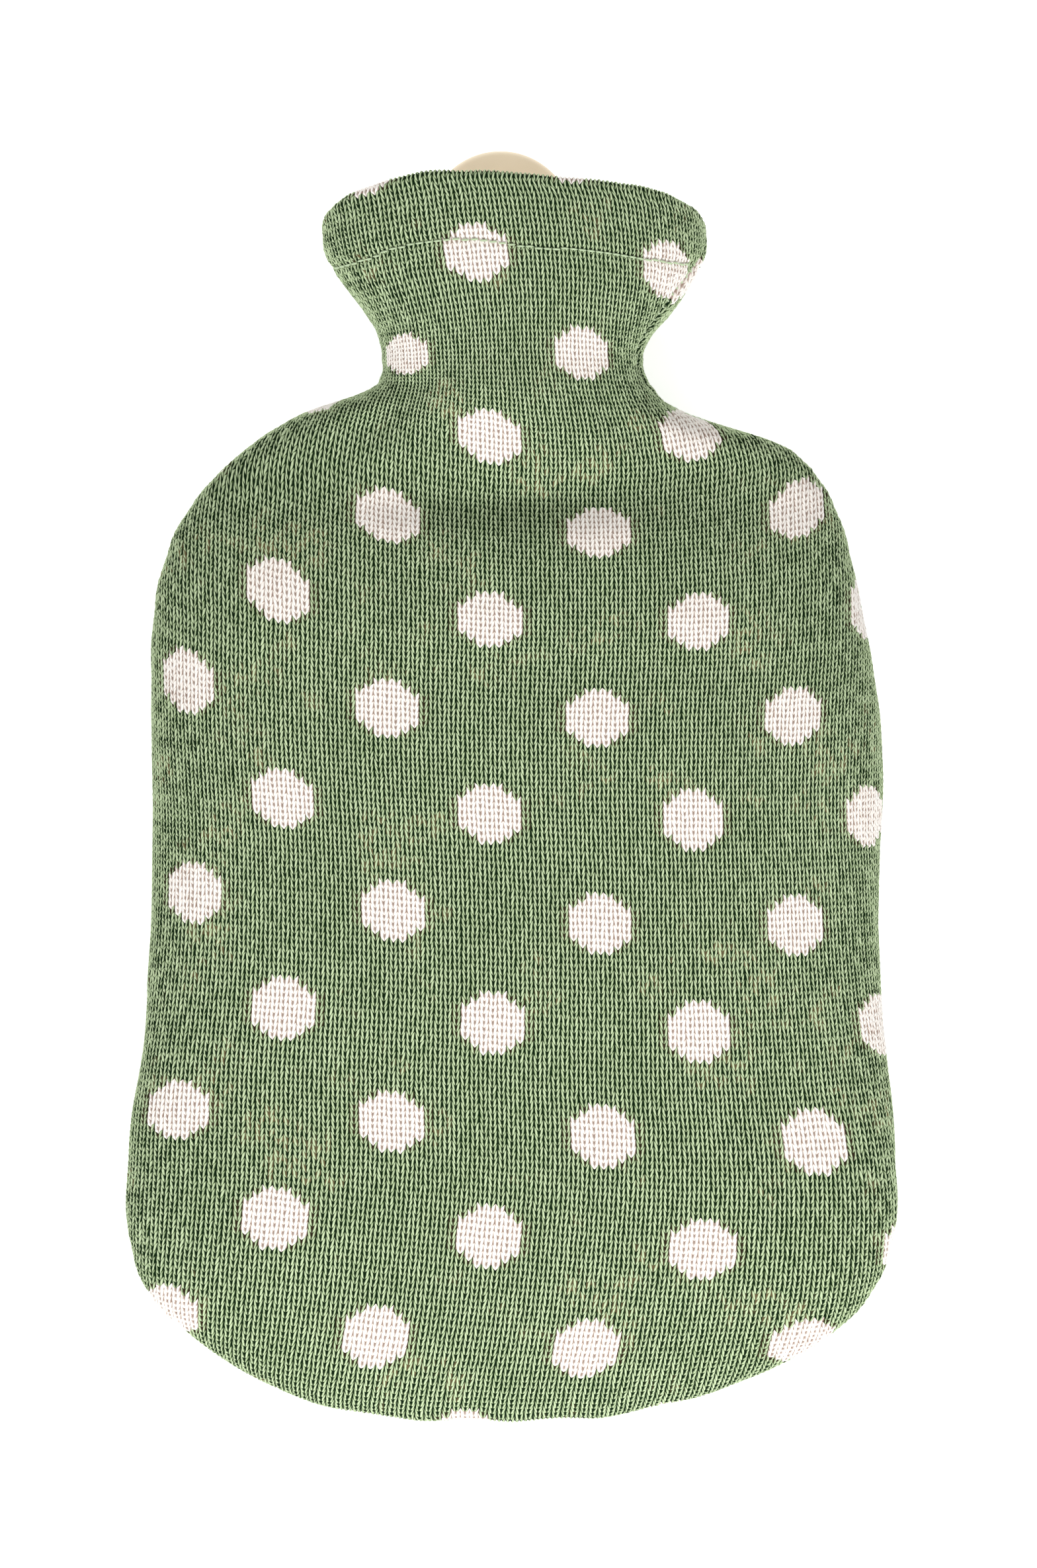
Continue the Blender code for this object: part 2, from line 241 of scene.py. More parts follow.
# %% Lights
Lamp = namedtuple("Lamp", "name place size power")
LAMPS = (
    Lamp("Key", (0.20, -1.15, 1.30), 0.6, 26.0),
    Lamp("Fill", (-0.9, 0.7, 1.3), 1.2, 5.0),
)
for lamp in LAMPS:
    data = bpy.data.lights.new(lamp.name, "AREA")
    data.shape = "SQUARE"
    data.size = lamp.size
    data.energy = lamp.power
    light = bpy.data.objects.new(lamp.name, data)
    light.location = lamp.place
    light.rotation_euler = (-Vector(lamp.place)).to_track_quat("-Z", "Y").to_euler()
    scene.collection.objects.link(light)
    print(lamp.name, lamp.power, "W")

WORLD_STRENGTH = 0.80
world = bpy.data.worlds.new("Studio")
world.use_nodes = True
background = world.node_tree.nodes["Background"]
background.inputs["Color"].default_value = (1.0, 1.0, 1.0, 1.0)
background.inputs["Strength"].default_value = WORLD_STRENGTH
scene.world = world


# %% [markdown]
# ## Writing materials as sums
# A material is a net of nodes, and a long net is hard to read. The small class below wraps one
# socket, so that `a * b + 1` adds the Math nodes by itself. It only holds what this object needs.

# %% A socket that can be added and multiplied
def math_method(operation):
    """A method that puts its object, and the other values, through a Math node."""
    def method(self, *others):
        node = self.tree.nodes.new("ShaderNodeMath")
        node.operation = operation
        for slot, value in zip(node.inputs, (self,) + others):
            plug(self.tree, slot, value)
        return Wire(self.tree, node.outputs[0])
    return method


class Wire:
    def __init__(self, tree, socket):
        self.tree = tree
        self.socket = socket

    __add__ = __radd__ = math_method("ADD")
    __mul__ = __rmul__ = math_method("MULTIPLY")
    __sub__ = math_method("SUBTRACT")
    __truediv__ = math_method("DIVIDE")
    __mod__ = math_method("FLOORED_MODULO")
    floor = math_method("FLOOR")
    fraction = math_method("FRACT")
    size = math_method("ABSOLUTE")
    most = math_method("MAXIMUM")
    below = math_method("LESS_THAN")

    def __rsub__(self, other):
        return (self * -1.0) + other

    def between(self, low, high):
        """A soft step from 0 to 1 as this goes from low to high."""
        settings = {"interpolation_type": "SMOOTHSTEP"}
        return new_wire(self.tree, "MapRange", settings, "Result", Value=self, From_Min=low, From_Max=high)


def plug(tree, slot, value):
    """Puts a number or a colour on a socket, or links a wire to it."""
    if isinstance(value, Wire):
        tree.links.new(value.socket, slot)
    else:
        slot.default_value = value


def plug_all(tree, node, **inputs):
    for name, value in inputs.items():
        plug(tree, node.inputs[name.replace("_", " ")], value)


def add_node(tree, kind, settings=(), **inputs):
    node = tree.nodes.new("ShaderNode" + kind)
    for name, value in dict(settings).items():
        setattr(node, name, value)
    plug_all(tree, node, **inputs)
    return node


def new_wire(tree, kind, settings=(), output=0, **inputs):
    """What comes out of a new node."""
    return Wire(tree, add_node(tree, kind, settings, **inputs).outputs[output])


def mix_colour(tree, share, first, second):
    node = add_node(tree, "Mix", {"data_type": "RGBA"})
    for slot, value in zip((node.inputs[0], node.inputs[6], node.inputs[7]), (share, first, second)):
        plug(tree, slot, value)
    return Wire(tree, node.outputs[2])


def scale_colour(tree, colour, factor):
    return new_wire(tree, "VectorMath", {"operation": "SCALE"}, Vector=colour[:3], Scale=factor)


def new_material(name):
    material = bpy.data.materials.new(name)
    material.use_nodes = True
    tree = material.node_tree
    return material, tree, tree.nodes["Principled BSDF"]


def noise(tree, place, scale, detail, roughness):
    return new_wire(tree, "TexNoise", Vector=place, Scale=scale, Detail=detail, Roughness=roughness)


# %% [markdown]
# ## The knit as a chart
# Knitting is a grid: wales are the columns of stitches and courses are its rows. Each piece's UV
# map counts them, so `u` grows by one at each wale and `v` at each course. The dots are then
# worked as on a knitter's chart: seven stitches wide, nine rows high, with cut corners, every
# 23 wales and 32 courses and once more half way between.

# %% The chart of the dots
REPEAT_WALES = 23
REPEAT_COURSES = 32
HALF_WALES = 12
HALF_COURSES = 16
DOT_REACH = 3  # wales to each side of a dot's middle one
DOT_ROWS = 4  # courses above and below it
DOT_CORNER = 5  # wales and courses together, which cuts the corners


def dot_mask(wale, course, wale_shift, course_shift, grow):
    """1 on the stitches of one of the two sets of dots."""
    half_u, half_v = REPEAT_WALES // 2, REPEAT_COURSES // 2
    du = ((wale + (half_u - wale_shift)) % REPEAT_WALES - half_u).size()
    dv = ((course + (half_v - course_shift)) % REPEAT_COURSES - half_v).size()
    inside = du.below(DOT_REACH + 0.5 + grow) * dv.below(DOT_ROWS + 0.5)
    return inside * (du + dv).below(DOT_CORNER + 0.5 + grow)


def dot_chart(wale, course, grow=0.0):
    """1 on the stitches of every dot, grown by so many stitches."""
    half_way = dot_mask(wale, course, HALF_WALES, HALF_COURSES, grow)
    return dot_mask(wale, course, 0, 0, grow).most(half_way)


# %% [markdown]
# ## One stitch
# A stitch is a V of two legs of yarn. The count's whole number says which stitch a spot is in, and
# its fraction says where in the V. The legs climb outwards, so the chart is tilted along them, and
# the edge of each dot gets its small teeth from that. Real yarn strays, so noise moves the counts
# a little first, and each leg also has a number of its own by chance.

# %% Where a spot lies in its stitch
LEG_SLANT = 0.75  # courses by which a leg rises from the V's middle to its side
LEG_SWAY = 0.34  # how far a leg's middle moves outwards over one stitch
LEG_CHANCE = 0.10  # and how far one leg's middle lies off another's
WALE_DRIFT = 0.30  # how far, in wales, the legs stray from their straight line
WALE_DRIFT_RATE = (0.9, 0.45)  # how quickly they do, across the wales and along them
COURSE_DRIFT = 0.8  # how far a wale's courses stray from its neighbours'
COURSE_DRIFT_RATE = (1.7, 0.3)
COURSE_DRIFT_LAYER = 4.0  # a part of the noise that the wales don't use
BEAD_MIDDLE = 0.45  # where along a stitch its leg is thickest
HOLE_SIZE = (0.36, 0.36)  # half the width and half the height of the hole in a V
HOLE_MIDDLE = 0.80
HOLE_EDGE = (1.3, 0.1)  # in shares of that size, where the hole's painted shade begins and where it is darkest

Stitch = namedtuple("Stitch", "wale course u climbed chance off_leg round_leg bead hole")


def chart_noise(tree, across, along, layer=0.0, detail=2.0, roughness=0.5):
    spot = new_wire(tree, "CombineXYZ", X=across, Y=along, Z=layer)
    return noise(tree, spot, 1.0, detail, roughness)


def stitch_at(tree):
    """Which stitch a spot lies in, and where in it."""
    chart = add_node(tree, "SeparateXYZ", Vector=new_wire(tree, "UVMap"))
    u, v = Wire(tree, chart.outputs[0]), Wire(tree, chart.outputs[1])
    drift = chart_noise(tree, u * WALE_DRIFT_RATE[0], v * WALE_DRIFT_RATE[1])
    u = u + (drift - 0.5) * WALE_DRIFT
    wale = u.floor()
    lag = chart_noise(tree, wale * COURSE_DRIFT_RATE[0], v * COURSE_DRIFT_RATE[1], COURSE_DRIFT_LAYER)
    v = v + (lag - 0.5) * COURSE_DRIFT
    side = u.fraction() - 0.5
    outwards = side.size() * 2.0
    climbed = v - outwards * LEG_SLANT
    course = climbed.floor()

    leg = new_wire(tree, "CombineXYZ", X=wale, Y=course, Z=side.below(0.0))
    chance = new_wire(tree, "TexWhiteNoise", {"noise_dimensions": "3D"}, "Value", Vector=leg)
    phase = climbed.fraction()
    leg_middle = (phase - 0.5) * LEG_SWAY + 0.5 + (chance - 0.5) * LEG_CHANCE
    off_leg = (outwards - leg_middle).size() * 2.0
    round_leg = (1.0 - off_leg * off_leg).most(0.0)
    bead = 1.0 - (phase - BEAD_MIDDLE).size() * 2.0
    across_hole = outwards / HOLE_SIZE[0]
    along_hole = (v.fraction() - HOLE_MIDDLE) / HOLE_SIZE[1]
    hole = (across_hole * across_hole + along_hole * along_hole).between(*HOLE_EDGE)
    return Stitch(wale, course, u, climbed, chance, off_leg, round_leg, bead, hole)


# %% [markdown]
# ## The yarn's colours
# Light and shade are painted into the colour: a painted highlight on each leg's crest, painted shade
# on its sides, and darker painted shade in the gaps between the legs. Round the dots that shade is
# brown, as cream yarn runs behind the green there. So each yarn has a painted highlight and two painted
# shades, and the gaps two more.

# %% The knit's material
# Each yarn's crest colour is a painted highlight, and its side and gap colours are painted shade
Yarn = namedtuple("Yarn", "crest side gap")
GREEN = Yarn((0.500, 0.600, 0.375, 1.0), (0.072, 0.130, 0.036, 1.0), (0.004, 0.014, 0.004, 1.0))
CREAM = Yarn((0.870, 0.835, 0.785, 1.0), (0.700, 0.600, 0.530, 1.0), (0.240, 0.165, 0.130, 1.0))
FLECK = (0.190, 0.140, 0.070, 1.0)
FLECK_CLOTH = (0.56, 0.66)  # where on the cloth, and on which legs, the flecks begin and are full
FLECK_LEGS = (0.62, 0.72)
FLECK_SHARE = 0.6
# the gaps' painted shade next to the dots, brown as cream yarn runs behind the green there
BROWN_GAP_SHADE = (0.030, 0.018, 0.010, 1.0)
BROWN_SHARE = 0.75
RIM_SWELL = 0.12  # how much wider a leg is where it is thickest
GREEN_RIM = (0.22, 0.73)  # from a leg's middle, where the gap's painted shade begins and where it is darkest
CREAM_RIM = (0.42, 0.95)
# how much painted shade the cream's holes take, and the cream's gaps in all
CREAM_HOLE = 0.8
CREAM_SHADE_SHARE = 0.9
BEAD_PAINTED_LIGHT = (-0.45, 0.5)  # where the painted highlight grows, from a leg's end to its thickest part
# how strong the painted highlight on each leg's crest is
CREST_PAINTED_LIGHT = 0.95
CREAM_PAINTED_LIGHT = (0.7, 0.4)  # cream takes less of the painted highlight, and is lighter in all
UNEVEN_LEGS = 0.32
UNEVEN_CLOTH = 0.3
FIBRES = (9.0, 2.6)  # how many cross a wale and a course
FUZZ_SCALE = 2600.0
CLOUD_SCALE = 55.0
# painted shade along the seam, where the cloth is drawn in
SEAM_PAINTED_SHADE = 0.55
LEG_BUMP, FIBRE_BUMP, FUZZ_BUMP, BEAD_BUMP = 0.55, 0.35, 0.15, 0.25
BUMP_STRENGTH = 0.55
BUMP_DEPTH = 0.0005
KNIT_ROUGHNESS = 0.80
FIBRE_ROUGHNESS = 0.2
KNIT_SPECULAR = 0.03


def knit_material(name):
    material, tree, shader = new_material(name)
    stitch = stitch_at(tree)
    fibres = chart_noise(tree, stitch.u * FIBRES[0], stitch.climbed * FIBRES[1], 0.0, 3.0, 0.6)
    place = new_wire(tree, "TexCoord", (), "Object")
    fuzz = noise(tree, place, FUZZ_SCALE, 2.0, 0.6)
    cloudy = noise(tree, place, CLOUD_SCALE, 3.0, 0.5)
    # nearness to the seam, which carries the seam's painted shade
    seam = new_wire(tree, "Attribute", {"attribute_name": "seam"}, "Fac")
    dots = dot_chart(stitch.wale, stitch.course)
    beside = dot_chart(stitch.wale, stitch.course, 1.0)

    # Painted shade in the gaps between the legs and in the hole of each V
    rim = stitch.off_leg - stitch.bead * RIM_SWELL
    green_painted_shade = rim.between(*GREEN_RIM).most(stitch.hole)
    cream_painted_shade = rim.between(*CREAM_RIM).most(stitch.hole * CREAM_HOLE) * CREAM_SHADE_SHARE
    depth = green_painted_shade * (1.0 - dots) + cream_painted_shade * dots

    uneven = fibres - 0.5 + (stitch.chance - 0.5) * UNEVEN_LEGS + (cloudy - 0.5) * UNEVEN_CLOTH
    # A painted highlight on each leg's crest, plus the yarn's random unevenness
    painted_highlight = stitch.round_leg * stitch.round_leg * stitch.bead.between(*BEAD_PAINTED_LIGHT)
    crest = painted_highlight * CREST_PAINTED_LIGHT + uneven
    green = mix_colour(tree, crest, GREEN.side, GREEN.crest)
    cream = mix_colour(tree, crest * CREAM_PAINTED_LIGHT[0] + CREAM_PAINTED_LIGHT[1], CREAM.side, CREAM.crest)
    flecks = cloudy.between(*FLECK_CLOTH) * stitch.chance.between(*FLECK_LEGS)
    # The gaps' painted shade, with flecks, and brown next to the dots
    green_gap_shade = mix_colour(tree, flecks * FLECK_SHARE, GREEN.gap, FLECK)
    green_gap_shade = mix_colour(tree, beside * BROWN_SHARE, green_gap_shade, BROWN_GAP_SHADE)
    legs = mix_colour(tree, dots, green, cream)
    gap_shade = mix_colour(tree, dots, green_gap_shade, CREAM.gap)
    colour = mix_colour(tree, depth, legs, gap_shade)

    height = stitch.round_leg * LEG_BUMP + (fibres - 0.5) * FIBRE_BUMP
    height = height + (fuzz - 0.5) * FUZZ_BUMP + stitch.bead * BEAD_BUMP
    # The seam's painted shade mixes the colour towards the gaps' painted shade
    plug_all(
        tree, shader, Base_Color=mix_colour(tree, seam * SEAM_PAINTED_SHADE, colour, gap_shade),
        Roughness=KNIT_ROUGHNESS + (fibres - 0.5) * FIBRE_ROUGHNESS,
        Normal=new_wire(tree, "Bump", Strength=BUMP_STRENGTH, Distance=BUMP_DEPTH, Height=height),
        Specular_IOR_Level=KNIT_SPECULAR,
    )
    print(name, "has", len(tree.nodes), "nodes")
    return material


knit_front = knit_material("knit_front")
knit_back = knit_material("knit_back")

# %% [markdown]
# ## A surface to lay the stitches on
# The panels could be modelled by hand, but the tables already say where the cloth is. So a
# plain grid is made and its points are moved to the form, row by row: first the round bottom
# end, then the body, the neck and the collar, and last the hem, which rolls over the top edge
# and runs down inside to its line of stitches.

# %% Rows of the form, much finer than the solids'
FINE_COLUMNS = 180
FINE_END_ROWS = 44
FINE_STEP = 0.0016
HEM_Y = 0.1375
HEM_ROUND = 0.0015  # the radius of the rolled top edge
HEM_ROLL_ROWS = 8
HEM_INSIDE_ROWS = 12
NO_SINE = 1e-9  # a sine as small as this is the seam's own


def spread(count):
    return np.linspace(0.0, 1.0, count + 1)


def eased(part):
    return (1.0 - np.cos(math.pi * part)) / 2.0


def end_edge(turn):
    reach, turn = end_reach(turn), np.radians(turn)
    return np.stack([reach * np.cos(turn), END_Y - reach * np.sin(turn)], axis=-1)


def end_plan(top_x):
    """Plan of the rows over the bottom end: a patch between its edge and the row at END_Y."""
    top = np.stack([top_x, np.full(len(top_x), END_Y)], axis=1)
    across = ((top_x - top_x[0]) / (top_x[-1] - top_x[0]))[:, None]
    turns = 180.0 - CORNER_TURN - (180.0 - 2.0 * CORNER_TURN) * eased(spread(len(top_x) - 1))
    bottom = end_edge(turns)
    rows = []
    for step in spread(2 * FINE_END_ROWS)[:FINE_END_ROWS]:
        up = 1.0 - math.cos(math.pi * step)
        left = end_edge(180.0 - CORNER_TURN * (1.0 - up))
        right = end_edge(CORNER_TURN * (1.0 - up))
        ends = (1.0 - across) * left + across * right
        corners = (1.0 - across) * ((1.0 - up) * bottom[0] + up * top[0])
        corners = corners + across * ((1.0 - up) * bottom[-1] + up * top[-1])
        rows.append((1.0 - up) * bottom + up * top + ends - corners)
    return rows


def seam_angles(front, station):
    """The angles round a section where a panel starts and ends."""
    turned = float(read(HEIGHTS, "y", "seam_turn", np.array([station]))[0])
    return (180.0, turned) if front else (180.0, 360.0 + turned)


def form_rows(front):
    """For each point: x, station, z and whether it lies on the front."""
    stations = np.linspace(END_Y, COLLAR_Y, round((COLLAR_Y - END_Y) / FINE_STEP) + 1)
    rows = []
    for station in stations:
        first, last = seam_angles(front, station)
        angle = np.radians(first + (last - first) * spread(FINE_COLUMNS))
        share = np.cos(angle)
        y = np.full(FINE_COLUMNS + 1, station)
        x = share * outline_side(share, y)
        on_front = np.sin(angle) >= -NO_SINE if front else np.sin(angle) > NO_SINE
        rows.append(np.stack([x, y, skin_height(x, y, on_front), on_front * 1.0], axis=1))
    end_rows = []
    for plan in end_plan(rows[0][:, 0]):
        z = skin_height(plan[:, 0], plan[:, 1], front)
        end_rows.append(np.column_stack([plan, z, np.full(len(z), float(front))]))
    return np.array(end_rows + rows)


front_rows, back_rows = form_rows(True), form_rows(False)
print("rows and points of each panel's form:", front_rows.shape[:2])

# %% [markdown]
# ## Where each stitch lies
# On the real cover the stitches are even on the cloth, so seen from the front they crowd
# together where the cloth turns down at the sides. That means counting along the surface, not
# along a ruler. The table corrects the count for how this cover was pulled on: its wales fan
# at the neck, and its courses sag a little to the right.

# %% Counting wales and courses along the surface
# At each level the count of wales is shift + spread a + skew a^2 + twist a^3, where a is the way
# over the cloth from the middle, and the count of courses is course + slope x + sag x^2 + bend x^3,
# where x is the place seen from the front; both are in tenths of a metre
Knit = namedtuple("Knit", "y shift spread skew twist course slope sag bend")
KNIT_CHART = rows_of(
    Knit,
    (-0.165, 5.24, 41.4, -0.34, -1.36, -88.7, 1.15, -2.97, -0.18),
    (-0.120, 2.62, 41.2, -0.25, -1.95, -64.6, 4.28, -1.29, -0.91),
    (-0.075, 2.22, 41.8, 0.82, -0.78, -39.1, 3.66, -1.46, -2.13),
    (-0.030, 2.23, 42.3, 0.96, 0.92, -13.1, 3.59, -2.48, -1.04),
    (0.015, 2.67, 41.6, 1.06, 1.68, 13.8, 2.51, -3.59, 0.24),
    (0.045, 2.43, 41.1, 0.89, 1.36, 33.0, 3.39, -6.57, 0.32),
    (0.062, 2.51, 41.2, 0.76, 1.07, 44.2, 3.93, -10.18, -0.19),
    (0.076, 2.57, 41.6, 0.65, 0.83, 54.2, 4.57, -13.11, -0.64),
    (0.090, 2.52, 42.1, 0.54, 0.59, 63.0, 6.60, -17.50, -1.02),
    (0.0985, 2.75, 43.5, 0.48, 0.43, 68.8, 7.00, -19.00, -1.20),
    (0.110, 3.10, 46.5, 0.42, 0.27, 77.0, 1.50, 3.00, 0.00),
    (0.137, 3.86, 42.7, 4.21, 0.50, 93.7, 0.30, 16.00, 0.00),
    (0.165, 5.50, 42.7, 4.21, 0.50, 110.8, 0.30, 16.00, 0.00),
)
CHART_UNIT = 0.1  # the table's counts are for this many metres
COURSE = 0.00169
STITCH_MIDDLE = (0.5, 0.875)  # from a stitch's lower corner to its middle
PATH_STEPS = 32


def path_length(x0, y0, x1, y1, on_front):
    """How long the way over the surface is, from one place in plan straight to another."""
    part = np.sin(np.linspace(0.0, math.pi / 2.0, PATH_STEPS + 1))[:, None]
    x, y = x0 + (x1 - x0) * part, y0 + (y1 - y0) * part
    z = skin_height(x.ravel(), y.ravel(), on_front).reshape(x.shape)
    steps = np.sqrt(np.diff(x, axis=0) ** 2 + np.diff(y, axis=0) ** 2 + np.diff(z, axis=0) ** 2)
    return steps.sum(axis=0)


def count_stitches(rows, front):
    """Wales from the middle and courses from y = 0, for every point of a form."""
    x, y, on_front = rows[..., 0].ravel(), rows[..., 1].ravel(), rows[..., 3].ravel() > 0.5
    zero = np.zeros_like(x)
    across = path_length(zero, y, x, y, front)
    other = np.where(on_front != front)[0]
    if len(other):
        side = np.sign(x[other]) * outline_side(x[other], y[other])
        across[other] = path_length(zero[other], y[other], side, y[other], front)
        across[other] += path_length(x[other], y[other], side, y[other], not front)
    across = np.sign(x) * across / CHART_UNIT
    down = np.minimum(y, END_Y)
    hidden = path_length(x, zero + END_Y, x, down, front) - (END_Y - down)
    if not front:
        x, across = -x, -across
    chart = {name: read(KNIT_CHART, "y", name, risen(x, y)) for name in Knit._fields[1:]}
    wales = chart["shift"] + chart["spread"] * across + chart["skew"] * across**2
    wales += chart["twist"] * across**3
    plan = x / CHART_UNIT
    courses = chart["course"] + chart["slope"] * plan + chart["sag"] * plan**2
    courses += chart["bend"] * plan**3 - hidden / COURSE
    counts = np.stack([wales + STITCH_MIDDLE[0], courses + STITCH_MIDDLE[1]], axis=-1)
    return counts.reshape(rows.shape[:2] + (2,))


front_counts = count_stitches(front_rows, True)
back_counts = count_stitches(back_rows, False)
print("wales:", front_counts[..., 0].min().round(1), "to", front_counts[..., 0].max().round(1))
print("courses:", front_counts[..., 1].min().round(1), "to", front_counts[..., 1].max().round(1))


# %% [markdown]
# ## The rolled hem
# A machine-knit hem is the panel's own cloth folded to the inside and caught by a line of small
# stitches. So the last row of the form is carried on: over a small half circle, then down
# inside as far as the stitches. The outside is also lifted a little above them, as a hem is
# twice as thick, and drawn in along them.

# %% Carry the form over the top edge and down inside
Hem = namedtuple("Hem", "x y")
HEM_LINE = rows_of(
    Hem,
    (-0.0480, 0.1364), (-0.0440, 0.1372), (-0.0375, 0.1389), (-0.0300, 0.1417),
    (-0.0220, 0.1430), (-0.0002, 0.1424), (0.0082, 0.1415), (0.0223, 0.1407),
    (0.0337, 0.1389), (0.0480, 0.1372),
)
HEM_PUFF = 0.0005  # how far the hem stands up, and over what height it begins to
HEM_PUFF_RISE = 0.002
HEM_DRAW = 0.0003  # how far its stitches draw it in
HEM_NARROW = 0.0009
HEM_TURN = HEM_ROUND + 0.0006  # how far below the edge the roll begins: the stitches add to it
HEM_LEAST = 0.001
EVEN_REACH = 6  # neighbours on each side that share a direction


def unit(directions):
    return directions / np.linalg.norm(directions, axis=1)[:, None]


def evened(directions):
    """Directions along an edge, each added up with its neighbours'."""
    wide = np.pad(directions, ((EVEN_REACH, EVEN_REACH), (0, 0)), mode="edge")
    size = len(directions)
    return sum(wide[k : k + size] for k in range(2 * EVEN_REACH + 1))


def down_the_form(points, down):
    """The place on each column that lies so far below its top, along the surface."""
    downwards = points[::-1]
    steps = np.linalg.norm(np.diff(downwards, axis=0), axis=2)
    way = np.concatenate([np.zeros((1, steps.shape[1])), np.cumsum(steps, axis=0)])
    places = [[np.interp(down[k], way[:, k], downwards[:, k, axis]) for axis in range(3)]
              for k in range(len(down))]
    return np.array(places)


def finish_rows(rows, counts, front):
    """Places in space and counts, with the rise of the collar, the hem's roll and its inside."""
    x, station, z = rows[..., 0], rows[..., 1], rows[..., 2]
    points = np.stack([x, risen(x, station), z], axis=-1)

    top, below = points[-1].copy(), points[-2]
    points, counts = np.delete(points, -2, axis=0), np.delete(counts, -2, axis=0)
    upwards = unit(evened(top - below))
    sideways = evened(np.gradient(top, axis=0))
    inwards = unit(np.cross(upwards, sideways)) * (1.0 if front else -1.0)

    hem_x = x[-1] if front else -x[-1]
    depth = np.maximum(top[:, 1] - read(HEM_LINE, "x", "y", hem_x), HEM_LEAST)
    start = top - upwards * HEM_TURN
    lengths, more_points = [], []
    for step in range(1, HEM_ROLL_ROWS + 1):
        turn = math.pi * step / HEM_ROLL_ROWS
        move = upwards * math.sin(turn) + inwards * (1.0 - math.cos(turn))
        more_points.append(start + move * HEM_ROUND)
        lengths.append(np.full(len(top), HEM_ROUND * turn))
    for step in range(1, HEM_INSIDE_ROWS + 1):
        down = depth * step / HEM_INSIDE_ROWS
        place = down_the_form(points, down + HEM_TURN)
        more_points.append(place + inwards * (2.0 * HEM_ROUND))
        lengths.append(HEM_ROUND * math.pi + down)
    points[-1] = start
    counts[-1, :, 1] -= HEM_TURN / COURSE
    grown = [counts[-1] + np.stack([0.0 * length, length / COURSE], axis=1) for length in lengths]
    inside = np.clip((np.arange(len(points) + len(grown)) - len(points) + 1) / HEM_ROLL_ROWS, 0.0, 1.0)
    return np.concatenate([points, more_points]), np.concatenate([counts, grown]), inside


front_points, front_counts, hem_inside = finish_rows(front_rows, front_counts, True)
back_points, back_counts, _ = finish_rows(back_rows, back_counts, False)
print("rows with the hem:", len(front_points), len(back_points))

# %% [markdown]
# ## Knitting the panels
# A grid of points, four to a wale and two to a course, is what the stitches need: the legs' two
# crests and the two dips between them. The grid is made flat, in wales and courses. Then each
# point looks up the place on the form that has its count, as if the flat knitting were pulled
# over the bottle. Points past the edge of the form are cut away, and the last ones kept are
# drawn to the seam. The legs stand up as real ridges, and the finer fibres are left to bump.

# %% Helpers that turn a form into something to look up
WALE_POINTS = 4
COURSE_POINTS = 2
ROW_START = 0.125  # so that each leg has one point low and one high
CREST = 0.00032  # how high the legs stand
SIDE_DIP = -0.00030
MIDDLE_DIP = -0.00026
CREST_SWAY = 0.055  # wales by which a crest leans out at its top and in at its foot
LEG_END = 0.00006  # how much higher a leg's top is
UNEVEN = 0.00003
SEAM_DEPTH = 0.0011  # how far the cloth is drawn in at the seam, and how near to it
SEAM_WIDTH = 0.0024
EDGE_FINER = 4  # parts between two points of the form's edge
ON_FORM = 0.001  # in wales and courses: counts this near to the form are on it
MERGE = 0.00001
SEED = 7


def moved_grid(across, along, places, faces_out):
    """A grid whose points are moved to places[row, column]. The operator counts them row by row."""
    mesh = bmesh.new()
    bmesh.ops.create_grid(mesh, x_segments=across, y_segments=along, size=1.0)
    for vertex, place in zip(mesh.verts, places.reshape(-1, 3)):
        vertex.co = place
    if not faces_out:
        bmesh.ops.reverse_faces(mesh, faces=mesh.faces)
    return mesh


def make_object(name, mesh, material):
    data = bpy.data.meshes.new(name)
    mesh.to_mesh(data)
    mesh.free()
    data.shade_smooth()
    data.materials.append(material)
    piece = bpy.data.objects.new(name, data)
    scene.collection.objects.link(piece)
    return piece


def side_by_side(points, parts):
    """A line of points with more put evenly between them."""
    at = np.linspace(0.0, len(points) - 1.0, (len(points) - 1) * parts + 1)
    known = np.arange(len(points))
    return np.stack([np.interp(at, known, points[:, k]) for k in range(points.shape[1])], axis=1)


